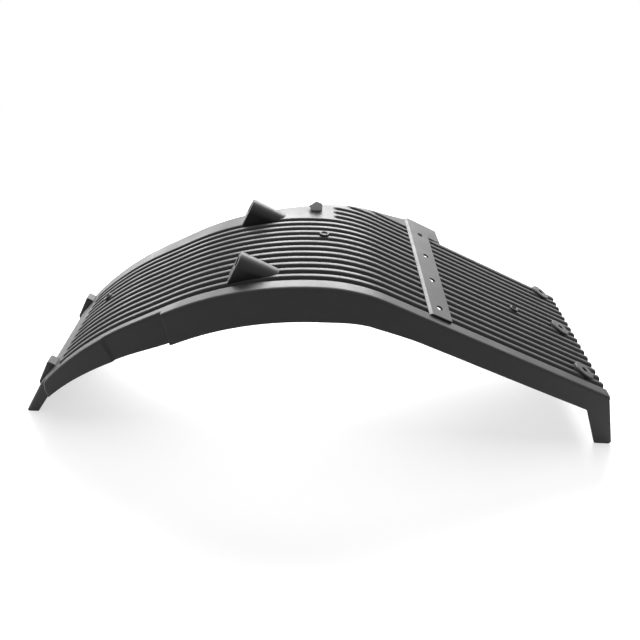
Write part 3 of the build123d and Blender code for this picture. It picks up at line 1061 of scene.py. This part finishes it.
class LINER_OT_stubs(bpy.types.Operator):
    """Build the three round moulding stubs along the middle of the deck"""

    bl_idname = "liner.stubs"
    bl_label = "Moulding Stubs"

    def execute(self, context):
        scene = context.scene
        points, faces = [], []
        for s in STUBS_AT:
            x, z, slope = deck_place(s)

            def place(u, v, up):
                along = x + u * cos(slope) - up * sin(slope)
                return in_frame(along, STUB_LINE + v, z + u * sin(slope) + up * cos(slope))

            rings = turned(points, faces, STUB_RIM + STUB_HOLLOW, STUB_FACETS, place)
            faces += [tuple(rings[0]), tuple(rings[-1])]
        mesh = mesh_from("moulding_stubs", points, faces)
        finish_piece("moulding_stubs", mesh, charcoal_plastic(scene.liner_finish))
        return {"FINISHED"}


def seen_directly(nodes, link):
    """1 on rays from the camera, from a gloss or through glass, else 0."""
    rays = nodes.new("ShaderNodeLightPath")
    seen = rays.outputs["Is Camera Ray"]
    for kind in ("Is Glossy Ray", "Is Transmission Ray"):
        either = nodes.new("ShaderNodeMath")
        either.operation = "MAXIMUM"
        link(seen, either.inputs[0])
        link(rays.outputs[kind], either.inputs[1])
        seen = either.outputs["Value"]
    return seen


def floor_material(colour, reach):
    """Pale floor that keeps the liner's shadow and fades to plain white towards its rim."""
    material = bpy.data.materials.new("pale_floor")
    material.use_nodes = True
    nodes, link = material.node_tree.nodes, material.node_tree.links.new
    surface = nodes["Principled BSDF"]
    surface.inputs["Base Color"].default_value = (*colour, 1.0)
    surface.inputs["Roughness"].default_value = 0.9
    surface.inputs["Specular IOR Level"].default_value = 0.0
    glow = nodes.new("ShaderNodeEmission")
    glow.inputs["Strength"].default_value = 0.62
    white = nodes.new("ShaderNodeEmission")
    where = nodes.new("ShaderNodeTexCoord")
    away = nodes.new("ShaderNodeVectorMath")
    away.operation = "LENGTH"
    fade = nodes.new("ShaderNodeMapRange")
    fade.interpolation_type = "SMOOTHSTEP"
    fade.inputs["From Min"].default_value = 0.3 * reach
    fade.inputs["From Max"].default_value = 0.95 * reach
    lit = nodes.new("ShaderNodeAddShader")
    seen = nodes.new("ShaderNodeMixShader")
    pick = nodes.new("ShaderNodeMixShader")
    link(where.outputs["Object"], away.inputs[0])
    link(away.outputs["Value"], fade.inputs["Value"])
    link(surface.outputs["BSDF"], lit.inputs[0])
    link(glow.outputs["Emission"], lit.inputs[1])
    link(fade.outputs["Result"], seen.inputs["Fac"])
    link(lit.outputs["Shader"], seen.inputs[1])
    link(white.outputs["Emission"], seen.inputs[2])
    link(seen_directly(nodes, link), pick.inputs["Fac"])
    link(surface.outputs["BSDF"], pick.inputs[1])
    link(seen.outputs["Shader"], pick.inputs[2])
    link(pick.outputs["Shader"], nodes["Material Output"].inputs["Surface"])
    return material


def room_world(strength):
    """Even room light, white to the camera."""
    world = bpy.data.worlds.new("pale_room")
    bpy.context.scene.world = world
    world.use_nodes = True
    nodes, link = world.node_tree.nodes, world.node_tree.links.new
    even = nodes["Background"]
    even.inputs["Strength"].default_value = strength
    white = nodes.new("ShaderNodeBackground")
    white.inputs["Color"].default_value = (1.0, 1.0, 1.0, 1.0)
    even.inputs["Color"].default_value = (1.0, 1.0, 1.0, 1.0)
    pick = nodes.new("ShaderNodeMixShader")
    link(seen_directly(nodes, link), pick.inputs["Fac"])
    link(even.outputs["Background"], pick.inputs[1])
    link(white.outputs["Background"], pick.inputs[2])
    link(pick.outputs["Shader"], nodes["World Output"].inputs["Surface"])


def area_light(name, place, aim, size, power):
    """A soft rectangular lamp that points at the liner."""
    lamp = bpy.data.lights.new(name, "AREA")
    lamp.shape = "RECTANGLE"
    lamp.size, lamp.size_y = size
    lamp.energy = power
    holder = bpy.data.objects.new(name, lamp)
    holder.location = place
    holder.rotation_euler = (Vector(aim) - Vector(place)).to_track_quat("-Z", "Y").to_euler()
    bpy.context.scene.collection.objects.link(holder)


class LINER_OT_stage(bpy.types.Operator):
    """Lay the pale floor, hang the studio lights and set the camera"""

    bl_idname = "liner.stage"
    bl_label = "Studio Stage"

    def execute(self, context):
        scene = context.scene
        stage = scene.liner_stage
        scene.view_settings.view_transform = "Standard"
        turn = [2 * pi * n / FLOOR_FACETS for n in range(FLOOR_FACETS)]
        rim = [(FLOOR_REACH * cos(a), FLOOR_REACH * sin(a), 0.0) for a in turn]
        mesh = bpy.data.meshes.new("floor")
        mesh.from_pydata(rim, [], [tuple(range(FLOOR_FACETS))])
        mesh.materials.append(floor_material(stage.floor, FLOOR_REACH))
        floor = bpy.data.objects.new("floor", mesh)
        scene.collection.objects.link(floor)
        room_world(stage.room)
        area_light("softbox_behind", (0.05, 2.3, 1.95), LIGHT_AIM, (2.4, 1.8), stage.softbox)
        area_light("softbox_left", (-2.1, 2.35, 0.65), LIGHT_AIM, (1.7, 1.2), stage.sides)
        area_light("softbox_right", (1.95, 2.5, 0.8), LIGHT_AIM, (1.7, 1.0), 0.3 * stage.sides)
        area_light("softbox_above", (0.0, 0.4, 2.8), LIGHT_AIM, (2.2, 1.6), stage.above)
        lens = bpy.data.cameras.new("camera")
        lens.sensor_width = SENSOR
        lens.lens = SENSOR * FOCAL_PIXELS / PICTURE_PIXELS
        camera = bpy.data.objects.new("camera", lens)
        pitch, roll = radians(CAMERA_PITCH), radians(CAMERA_ROLL)
        right = Vector((cos(roll), 0.0, sin(roll)))
        up = Vector((-sin(roll) * cos(pitch), sin(pitch), cos(roll) * cos(pitch)))
        back = right.cross(up)
        turn = Matrix((right, up, back)).transposed()
        camera.matrix_world = Matrix.Translation(CAMERA_PLACE) @ turn.to_4x4()
        scene.collection.objects.link(camera)
        scene.camera = camera
        return {"FINISHED"}


class LINER_PT_sidebar(bpy.types.Panel):
    """Lists the liner's pieces and settings"""

    bl_idname = "LINER_PT_sidebar"
    bl_label = "Arch Liner"
    bl_space_type = "VIEW_3D"
    bl_region_type = "UI"
    bl_category = "Arch Liner"

    def draw(self, context):
        layout = self.layout
        for group in (context.scene.liner_shape, context.scene.liner_finish, context.scene.liner_stage):
            for name in group.__annotations__:
                layout.prop(group, name)
        for operator in OPERATORS:
            layout.operator(operator.bl_idname)


GROUPS = (LinerShape, LinerFinish, LinerStage)
OPERATORS = (
    LINER_OT_shell,
    LINER_OT_plate,
    LINER_OT_pads,
    LINER_OT_bosses,
    LINER_OT_lugs,
    LINER_OT_stubs,
    LINER_OT_stage,
)


def register():
    for item in GROUPS + OPERATORS + (LINER_PT_sidebar,):
        bpy.utils.register_class(item)
    bpy.types.Scene.liner_shape = PointerProperty(type=LinerShape)
    bpy.types.Scene.liner_finish = PointerProperty(type=LinerFinish)
    bpy.types.Scene.liner_stage = PointerProperty(type=LinerStage)


def unregister():
    del bpy.types.Scene.liner_stage
    del bpy.types.Scene.liner_finish
    del bpy.types.Scene.liner_shape
    for item in reversed(GROUPS + OPERATORS + (LINER_PT_sidebar,)):
        bpy.utils.unregister_class(item)


def main():
    register()
    bpy.ops.liner.shell()
    bpy.ops.liner.plate()
    bpy.ops.liner.pads()
    bpy.ops.liner.bosses()
    bpy.ops.liner.lugs()
    bpy.ops.liner.stubs()
    bpy.ops.liner.stage()


if __name__ == "__main__":
    main()
